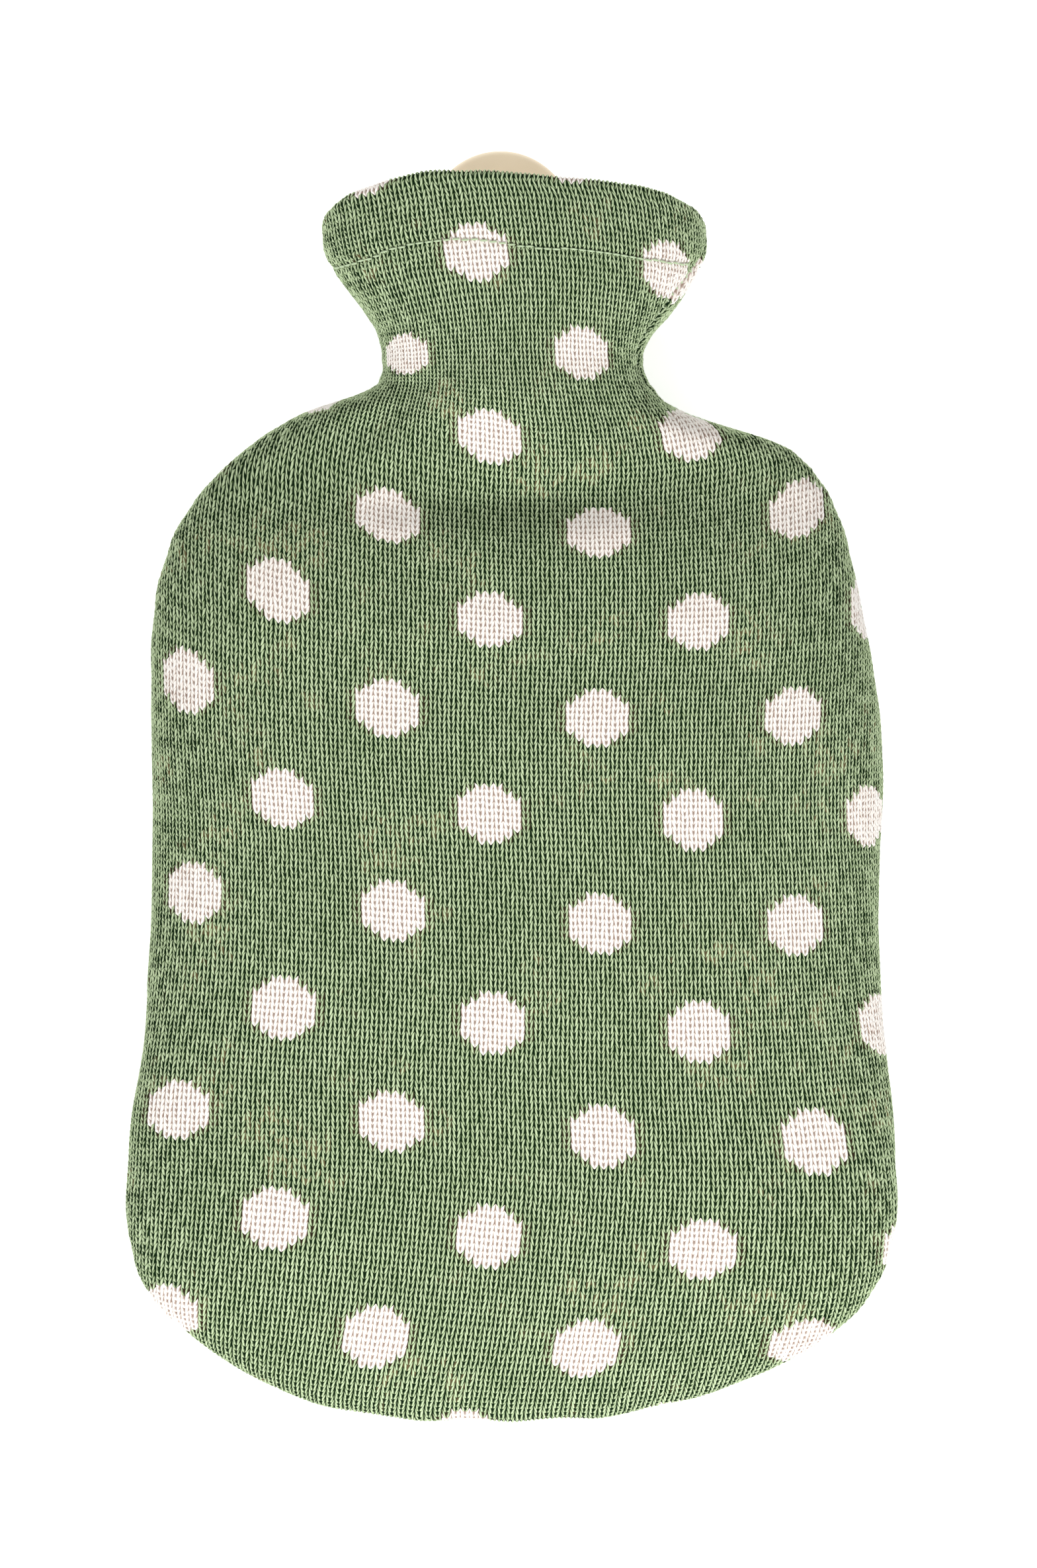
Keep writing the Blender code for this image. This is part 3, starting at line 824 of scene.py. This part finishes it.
class Form:
    """A panel's form: finds the place, the direction out and the hem's inside at any count."""

    def __init__(self, points, counts, inside, front):
        rows, columns = points.shape[:2]
        solid = moved_grid(columns - 1, rows - 1, points, front)
        solid.normal_update()
        flat = np.concatenate([counts, np.zeros((rows, columns, 1))], axis=2)
        spread_out = moved_grid(columns - 1, rows - 1, flat, True)
        bmesh.ops.triangulate(spread_out, faces=spread_out.faces)
        self.front = front
        self.lookup = BVHTree.FromBMesh(spread_out)
        self.corners = np.array([[v.index for v in face.verts] for face in spread_out.faces])
        self.counts = counts.reshape(-1, 2)
        out = np.array([vertex.normal for vertex in solid.verts])
        self.values = np.column_stack([points.reshape(-1, 3), out, np.repeat(inside, columns)])
        order = np.arange(rows * columns).reshape(rows, columns)
        sides = (order[:, 0], order[:, -1], order[0], order[-1])
        known = np.column_stack([self.counts, self.values])
        lines = [side_by_side(known[side], EDGE_FINER) for side in sides]
        self.edge = np.concatenate(lines)
        self.seam = np.concatenate([lines[0][::-1], lines[2], lines[1]])
        self.edge_flat = self.tree(self.edge[:, :2])
        self.seam_solid = self.tree(self.seam[:, 2:5])
        self.area = sum(face.calc_area() for face in solid.faces)
        solid.free()
        spread_out.free()

    @staticmethod
    def tree(points):
        tree = KDTree(len(points))
        for index, point in enumerate(points):
            tree.insert(tuple(point) + (0.0,) * (3 - len(point)), index)
        tree.balance()
        return tree

    def find(self, counts):
        """Values at each count, the nearest count on the form, and how far off that is."""
        found = [self.lookup.find_nearest((u, v, 0.0)) for u, v in counts]
        near = np.array([hit[0][:2] for hit in found])
        corners = self.corners[[hit[2] for hit in found]]
        off = np.array([hit[3] for hit in found])
        a, b, c = (self.counts[corners[:, k]] for k in range(3))
        whole = np.cross(b - a, c - a)
        share_b = np.cross(near - a, c - a) / whole
        share_c = np.cross(b - a, near - a) / whole
        shares = np.stack([1.0 - share_b - share_c, share_b, share_c], axis=1)
        values = (self.values[corners] * shares[:, :, None]).sum(axis=1)
        return values, near, off


front_form = Form(front_points, front_counts, hem_inside, True)
back_form = Form(back_points, back_counts, hem_inside, False)
print("points along the front's edge:", len(front_form.edge))


# %% Lay the flat grid of stitches on a form
def knit_grid(form):
    """The flat grid: the count of every point, and how high it stands."""
    low, high = np.floor(form.counts.min(axis=0)) - 1, np.ceil(form.counts.max(axis=0)) + 1
    across = int(high[0] - low[0]) * WALE_POINTS
    along = int(high[1] - low[1]) * COURSE_POINTS
    column_number, row_number = np.meshgrid(np.arange(across + 1), np.arange(along + 1))
    in_wale = (column_number + int(low[0]) * WALE_POINTS) % WALE_POINTS
    u = low[0] + column_number / WALE_POINTS
    v = low[1] + row_number / COURSE_POINTS + ROW_START
    upper = (row_number % COURSE_POINTS == 0)
    sway = np.where(upper, CREST_SWAY, -CREST_SWAY)
    u = u + np.where(in_wale == 1, -sway, 0.0) + np.where(in_wale == 3, sway, 0.0)
    relief = np.choose(in_wale, (SIDE_DIP, CREST, MIDDLE_DIP, CREST))
    relief = relief + np.where((in_wale % 2 == 1) & upper, LEG_END, 0.0)
    return across, along, np.stack([u, v], axis=2), relief


def hem_shape(x, y, hidden, front):
    """How far the hem stands up above its stitches, and dips along them."""
    above = y - read(HEM_LINE, "x", "y", x if front else -x)
    puff = HEM_PUFF * np.clip(above / HEM_PUFF_RISE, 0.0, 1.0)
    dip = HEM_DRAW * np.exp(-((above / HEM_NARROW) ** 2))
    return np.where(hidden > 0.0, HEM_PUFF * (1.0 - hidden), puff - dip)


def knit_panel(form, draw):
    across, along, counts, relief = knit_grid(form)
    flat = np.concatenate([counts, relief[:, :, None]], axis=2)
    mesh = moved_grid(across, along, flat, True)
    off = form.find(counts.reshape(-1, 2))[2]
    for vertex, gap in zip(mesh.verts, off):
        vertex.tag = bool(gap < ON_FORM)
    outer = [face for face in mesh.faces if sum(vertex.tag for vertex in face.verts) < 3]
    bmesh.ops.delete(mesh, geom=outer, context="FACES")
    kept = np.array([vertex.co for vertex in mesh.verts])
    values, near, off = form.find(kept[:, :2])
    for number, vertex in enumerate(mesh.verts):
        if vertex.is_boundary:
            nearest = form.edge_flat.find((kept[number][0], kept[number][1], 0.0))[1]
            near[number], values[number] = form.edge[nearest][:2], form.edge[nearest][2:]
    place, out, hidden = values[:, :3], unit(values[:, 3:6]), values[:, 6]
    to_seam = np.array([form.seam_solid.find(point)[2] for point in place])
    # nearness to the seam: it draws the cloth in and carries the seam's painted shade
    seam = np.clip(1.0 - to_seam / SEAM_WIDTH, 0.0, 1.0) ** 2
    relief = kept[:, 2] + draw.uniform(-UNEVEN, UNEVEN, len(kept))
    relief = relief + hem_shape(place[:, 0], place[:, 1], hidden, form.front)
    lift = relief * (1.0 - seam) - SEAM_DEPTH * seam
    for vertex, point in zip(mesh.verts, place + out * lift[:, None]):
        vertex.co = point
    return mesh, near, seam


# %% [markdown]
# ## Parting a panel
# A panel has more than the 200,000 triangles that one piece can hold, so it is parted along one
# course of the chest. Both parts keep the whole panel's normals, and no line shows between them.

# %% Cut a panel's mesh along a course
PARTING = 38.0


def part_of_panel(mesh, counts, lower):
    part = mesh.copy()
    layer = part.verts.layers.int["number"]
    wrong = [face for face in part.faces
             if (counts[[v[layer] for v in face.verts], 1].mean() < PARTING) != lower]
    bmesh.ops.delete(part, geom=wrong, context="FACES")
    bmesh.ops.triangulate(part, faces=part.faces)
    bmesh.ops.dissolve_degenerate(part, dist=MERGE, edges=part.edges)
    return part


def knit_object(name, part, counts, seam, out, material):
    """The part as an object, with its counts as UV map, its seam's shade and its normals."""
    piece = make_object(name, part, material)
    data = piece.data
    order = np.zeros(len(data.vertices), np.int32)
    data.attributes["number"].data.foreach_get("value", order)
    corner = np.zeros(len(data.loops), np.int32)
    data.loops.foreach_get("vertex_index", corner)
    stitches = data.uv_layers.new(name="stitches")
    stitches.uv.foreach_set("vector", counts[order][corner].astype(np.float32).ravel())
    shade = data.attributes.new("seam", "FLOAT", "POINT")
    shade.data.foreach_set("value", seam[order].astype(np.float32))
    data.attributes.remove(data.attributes["number"])
    data.normals_split_custom_set_from_vertices(out[order])
    print(name, len(data.polygons), "triangles")
    return piece


def split_knit(side, form, material, draw):
    """Knits a panel, and gives it as two objects that meet along one course."""
    mesh, counts, seam = knit_panel(form, draw)
    mesh.normal_update()
    number = mesh.verts.layers.int.new("number")
    for index, vertex in enumerate(mesh.verts):
        vertex[number] = index
    out = np.array([vertex.normal for vertex in mesh.verts])
    pieces = []
    for end, lower in (("body", True), ("neck", False)):
        part = part_of_panel(mesh, counts, lower)
        pieces.append(knit_object(f"{side}_knit_{end}", part, counts, seam, out, material))
    mesh.free()
    return pieces


draw = np.random.default_rng(SEED)
front_body, front_neck = split_knit("front", front_form, knit_front, draw)
back_body, back_neck = split_knit("back", back_form, knit_back, draw)

# %% [markdown]
# ## The bottle
# Only the rubber tab shows, but a bottle is there all the same: the cover's own form drawn in
# by the cloth's thickness, closed at the top by a funnel, with a round tab. The funnel is cut
# by an inset and an extrusion, and the tab is joined with a Boolean.

# %% The rubber and its tab
RUBBER = (0.870, 0.740, 0.550, 1.0)
RUBBER_ROUGHNESS = 0.52
BLOOM = 0.16  # how much the faint bloom lightens and darkens it
BLOOM_SCALE = 90.0
GRAIN_SCALE = 3200.0
GRAIN_DEPTH = 0.0002
HEM_THICKNESS = 0.0032
KNIT_THICKNESS = 0.0020
CLOTH_TO_RUBBER = 0.0006
FUNNEL_RIM_Y = 0.1455
FUNNEL_FLOOR_Y = 0.1210
FUNNEL_WALL = 0.0030
FUNNEL_FLOOR_SHARE = 0.68
TAB_RADIUS = 0.0194
TAB_CENTRE = (-0.0032, 0.1483)
TAB_Z = (0.0058, 0.0092)
TAB_ROUNDING = 0.0012
TAB_STEPS = 128
TAB_ROUNDING_STEPS = 4
BOTTLE_EVERY = 3  # of the form's rows and columns
BOTTLE_TOP_Y = HEM_Y + 0.002  # the last row taken from the form


def rubber_material():
    material, tree, shader = new_material("rubber")
    place = new_wire(tree, "TexCoord", (), "Object")
    cloudy = noise(tree, place, BLOOM_SCALE, 3.0, 0.5)
    grain = noise(tree, place, GRAIN_SCALE, 2.0, 0.6)
    height = grain * 0.6 + cloudy
    plug_all(
        tree, shader, Base_Color=scale_colour(tree, RUBBER, (cloudy - 0.5) * BLOOM + 1.0),
        Roughness=RUBBER_ROUGHNESS + (grain - 0.5) * 0.2,
        Normal=new_wire(tree, "Bump", Strength=0.25, Distance=GRAIN_DEPTH, Height=height),
    )
    return material


def bottle_half(rows, front):
    stations = rows[:, FINE_COLUMNS // 2, 1]
    kept = [k for k in range(0, len(rows), BOTTLE_EVERY) if stations[k] < BOTTLE_TOP_Y]
    points = rows[kept][:, ::BOTTLE_EVERY]
    x, station, z = points[..., 0], points[..., 1], points[..., 2]
    places = np.stack([x, risen(x, station), z], axis=-1)
    return moved_grid(places.shape[1] - 1, places.shape[0] - 1, places, front)


def bottle_mesh():
    mesh = bmesh.new()
    for rows, front in ((front_rows, True), (back_rows, False)):
        half = bottle_half(rows, front)
        data = bpy.data.meshes.new("half")
        half.to_mesh(data)
        half.free()
        mesh.from_mesh(data)
        bpy.data.meshes.remove(data)
    bmesh.ops.remove_doubles(mesh, verts=mesh.verts, dist=MERGE)
    mesh.normal_update()
    for vertex in mesh.verts:
        in_hem = min(max((vertex.co.y - NECK_Y) / (HEM_Y - NECK_Y), 0.0), 1.0)
        cloth = KNIT_THICKNESS + (HEM_THICKNESS - KNIT_THICKNESS) * in_hem
        vertex.co -= vertex.normal * (cloth + CLOTH_TO_RUBBER)

    rim_edges = [edge for edge in mesh.edges if edge.is_boundary]
    for vertex in {vertex for edge in rim_edges for vertex in edge.verts}:
        vertex.co.y = FUNNEL_RIM_Y
    cap = bmesh.ops.contextual_create(mesh, geom=rim_edges)["faces"]
    bmesh.ops.inset_region(mesh, faces=cap, thickness=FUNNEL_WALL, use_even_offset=True)
    deep = bmesh.ops.extrude_face_region(mesh, geom=cap)["geom"]
    bmesh.ops.delete(mesh, geom=cap, context="FACES_ONLY")
    floor = [item for item in deep if isinstance(item, bmesh.types.BMVert)]
    middle = sum(vertex.co.z for vertex in floor) / len(floor)
    for vertex in floor:
        vertex.co.x *= FUNNEL_FLOOR_SHARE
        vertex.co.y = FUNNEL_FLOOR_Y
        vertex.co.z = middle + (vertex.co.z - middle) * FUNNEL_FLOOR_SHARE
    bmesh.ops.recalc_face_normals(mesh, faces=mesh.faces)
    return mesh


def tab_mesh():
    mesh = bmesh.new()
    bmesh.ops.create_cone(
        mesh, cap_ends=True, segments=TAB_STEPS, radius1=TAB_RADIUS, radius2=TAB_RADIUS,
        depth=TAB_Z[1] - TAB_Z[0],
        matrix=Matrix.Translation(TAB_CENTRE + ((TAB_Z[0] + TAB_Z[1]) / 2.0,)),
    )
    rims = [edge for edge in mesh.edges if sum(len(face.verts) > 4 for face in edge.link_faces) == 1]
    bmesh.ops.bevel(
        mesh, geom=rims, offset=TAB_ROUNDING, segments=TAB_ROUNDING_STEPS, profile=0.5,
        affect="EDGES", material=-1,
    )
    return mesh


rubber = rubber_material()
bottle = make_object("rubber_bottle", bottle_mesh(), rubber)
tab = make_object("tab", tab_mesh(), rubber)
union = bottle.modifiers.new("Hanging tab", "BOOLEAN")
union.operation = "UNION"
union.object = tab
joined = bpy.data.meshes.new_from_object(bottle.evaluated_get(bpy.context.evaluated_depsgraph_get()))
bottle.modifiers.clear()
bottle.data = joined
bpy.data.objects.remove(tab)
print("rubber_bottle", len(bottle.data.polygons), "faces")

# %% [markdown]
# ## Thread
# The hem is caught by one small stitch a wale, and the panels' seam by stitches that cross it
# like the rungs of a ladder. Each is a stretched ball with few faces, as there are hundreds.

# %% Yarn for the seams
YARN = (0.420, 0.520, 0.330, 1.0)
YARN_FIBRES = 3400.0
YARN_DEPTH = 0.0002
HEM_STITCH = (0.00120, 0.00030)  # half its length and half its thickness
HEM_STITCH_FROM_SEAM = 0.004
HEM_STITCH_RAISED = 0.0004
HEM_STITCH_REACH = 0.001  # how far a stitch may lie off the hem's line
HEM_SEARCH = 40.0  # courses back from the end of the hem's inside
HEM_SEARCH_STEP = 0.25
SEAM_STITCH = (0.00105, 0.00030)
SEAM_STITCH_EVERY = 0.0021
SEAM_STITCH_SUNK = 0.0007
SEAM_AHEAD = 0.0005  # how far on the next place is, which gives the seam's direction
STITCH_SIDES = (8, 5)


def yarn_material():
    material, tree, shader = new_material("yarn")
    place = new_wire(tree, "TexCoord", (), "Object")
    fibres = noise(tree, place, YARN_FIBRES, 3.0, 0.6)
    plug_all(
        tree, shader, Base_Color=scale_colour(tree, YARN, (fibres - 0.5) * 0.5 + 0.95),
        Normal=new_wire(tree, "Bump", Strength=0.5, Distance=YARN_DEPTH, Height=fibres),
        Roughness=0.85, Sheen_Weight=0.1,
    )
    return material


def add_stitch(mesh, place, along, out, half_length, half_thickness):
    along, out = Vector(along).normalized(), Vector(out).normalized()
    across = out.cross(along).normalized()
    turn = Matrix((along * half_length, across * half_thickness, along.cross(across) * half_thickness))
    matrix = Matrix.Translation(place) @ turn.transposed().to_4x4()
    bmesh.ops.create_uvsphere(
        mesh, u_segments=STITCH_SIDES[0], v_segments=STITCH_SIDES[1], radius=1.0, matrix=matrix
    )


def hem_stitches(mesh, form):
    top = form.counts[:, 1].max()
    wales = np.arange(math.ceil(form.counts[:, 0].min()), math.floor(form.counts[:, 0].max())) + 0.5
    tries = np.arange(0.0, HEM_SEARCH, HEM_SEARCH_STEP)
    for u in wales:
        counts = np.stack([np.full(len(tries), u), top - tries], axis=1)
        values, _, off = form.find(counts)
        line = np.abs(values[:, 1] - read(HEM_LINE, "x", "y", values[:, 0]))
        line = line + (values[:, 6] > 0.0) + (off > ON_FORM)
        best = int(line.argmin())
        from_seam = form.seam_solid.find(values[best][:3])[2]
        if line[best] > HEM_STITCH_REACH or from_seam < HEM_STITCH_FROM_SEAM:
            continue
        next_one = form.find(counts[best : best + 1] + np.array([[0.5, 0.0]]))[0][0]
        along = next_one[:3] - values[best][:3]
        place = Vector(values[best][:3]) + Vector(values[best][3:6]) * HEM_STITCH_RAISED
        add_stitch(mesh, place, along, values[best][3:6], *HEM_STITCH)


def seam_stitches(mesh, form):
    line = form.seam[:, 2:8]
    steps = np.linalg.norm(np.diff(line[:, :3], axis=0), axis=1)
    run = np.concatenate([[0.0], np.cumsum(steps)])
    for at in np.arange(SEAM_STITCH_EVERY / 2.0, run[-1], SEAM_STITCH_EVERY):
        here = np.array([np.interp(at, run, line[:, k]) for k in range(6)])
        ahead = np.array([np.interp(at + SEAM_AHEAD, run, line[:, k]) for k in range(6)])
        out = Vector(here[3:6]).normalized()
        rung = Vector(ahead[:3] - here[:3]).cross(out)
        add_stitch(mesh, Vector(here[:3]) - out * SEAM_STITCH_SUNK, rung, out, *SEAM_STITCH)


yarn = yarn_material()
hem_mesh, seam_mesh = bmesh.new(), bmesh.new()
hem_stitches(hem_mesh, front_form)
hem_stitches(hem_mesh, back_form)
seam_stitches(seam_mesh, front_form)
hem_thread = make_object("hem_stitches", hem_mesh, yarn)
seam_thread = make_object("seam_stitches", seam_mesh, yarn)
for thread in (hem_thread, seam_thread):
    print(thread.name, len(thread.data.polygons) // math.prod(STITCH_SIDES), "stitches")

# %% [markdown]
# ## The ground
# A plain white sheet just under the object, larger than the picture.

# %% Floor
FLOOR_SIZE = 1.6
FLOOR_WHITE = (0.95, 0.95, 0.95, 1.0)
FLOOR_GLOW = 0.60
FLOOR_Z = cad_low[2] - 0.0015
floor_mesh = bmesh.new()
bmesh.ops.create_grid(floor_mesh, x_segments=1, y_segments=1, size=FLOOR_SIZE)
floor_material, tree, shader = new_material("floor_white")
plug_all(
    tree, shader, Base_Color=FLOOR_WHITE, Roughness=0.9,
    Emission_Color=FLOOR_WHITE, Emission_Strength=FLOOR_GLOW,
)
floor = make_object("floor", floor_mesh, floor_material)
floor.data.transform(Matrix.Translation((0.0, 0.0, FLOOR_Z)))
print("floor at", round(FLOOR_Z, 4))

# %% [markdown]
# ## Attaching the pieces
# Each piece rides on the one body, and where a piece stands for a solid, that solid is hidden.

# %% Attaching the pieces
for pieces, node, slot in (
    ((front_body, front_neck), "front_panel", "knit_front"),
    ((back_body, back_neck), "back_panel", "knit_back"),
    ((bottle,), "bottle", "rubber"),
    ((hem_thread, seam_thread), None, "knit_front"),
):
    for piece in pieces:
        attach(piece, "root")
        if node:
            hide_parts(node)
